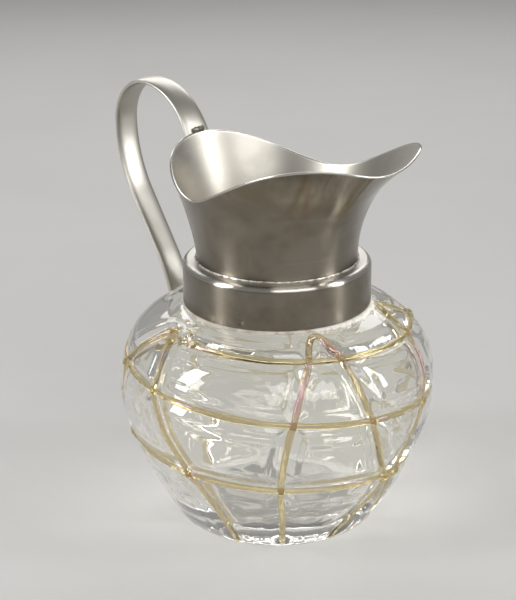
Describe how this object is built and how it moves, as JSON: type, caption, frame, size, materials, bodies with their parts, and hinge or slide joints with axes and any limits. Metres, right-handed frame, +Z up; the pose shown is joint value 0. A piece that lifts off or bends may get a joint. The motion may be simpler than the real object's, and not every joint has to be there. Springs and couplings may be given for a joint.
{
  "type": "water pitcher",
  "caption": "Squat clear glass water pitcher with applied amber glass threads, a plated drum collar, a wavy helmet spout and a tall strap handle.",
  "frame": {"origin": "centre of the flat glass foot, on the plane it stands on", "axes": "+Z up along the axis of the body, +X towards the pouring lip, the handle on -X"},
  "size_m": [0.1887, 0.1508, 0.1986],
  "materials": {
    "clear_glass": "fire-polished blown glass, faintly warm",
    "amber_glass": "fire-polished applied threads with a pink lustre",
    "plaster": "matt, crumbling at the edge",
    "plated_metal": "worn silver plate, satin with fine scratches",
    "solder": "dull and pitted"
  },
  "bodies": {
    "root": {"glass_body": "clear_glass", "spiral_thread": "amber_glass", "upright_thread_a": "amber_glass", "upright_thread_b": "amber_glass", "upright_thread_c": "amber_glass", "upright_thread_d": "amber_glass", "plaster_bed": "plaster", "collar": "plated_metal", "spout_seam": "solder", "spout": "plated_metal", "handle": "plated_metal", "handle_solder": "solder"}
  },
  "joints": []
}
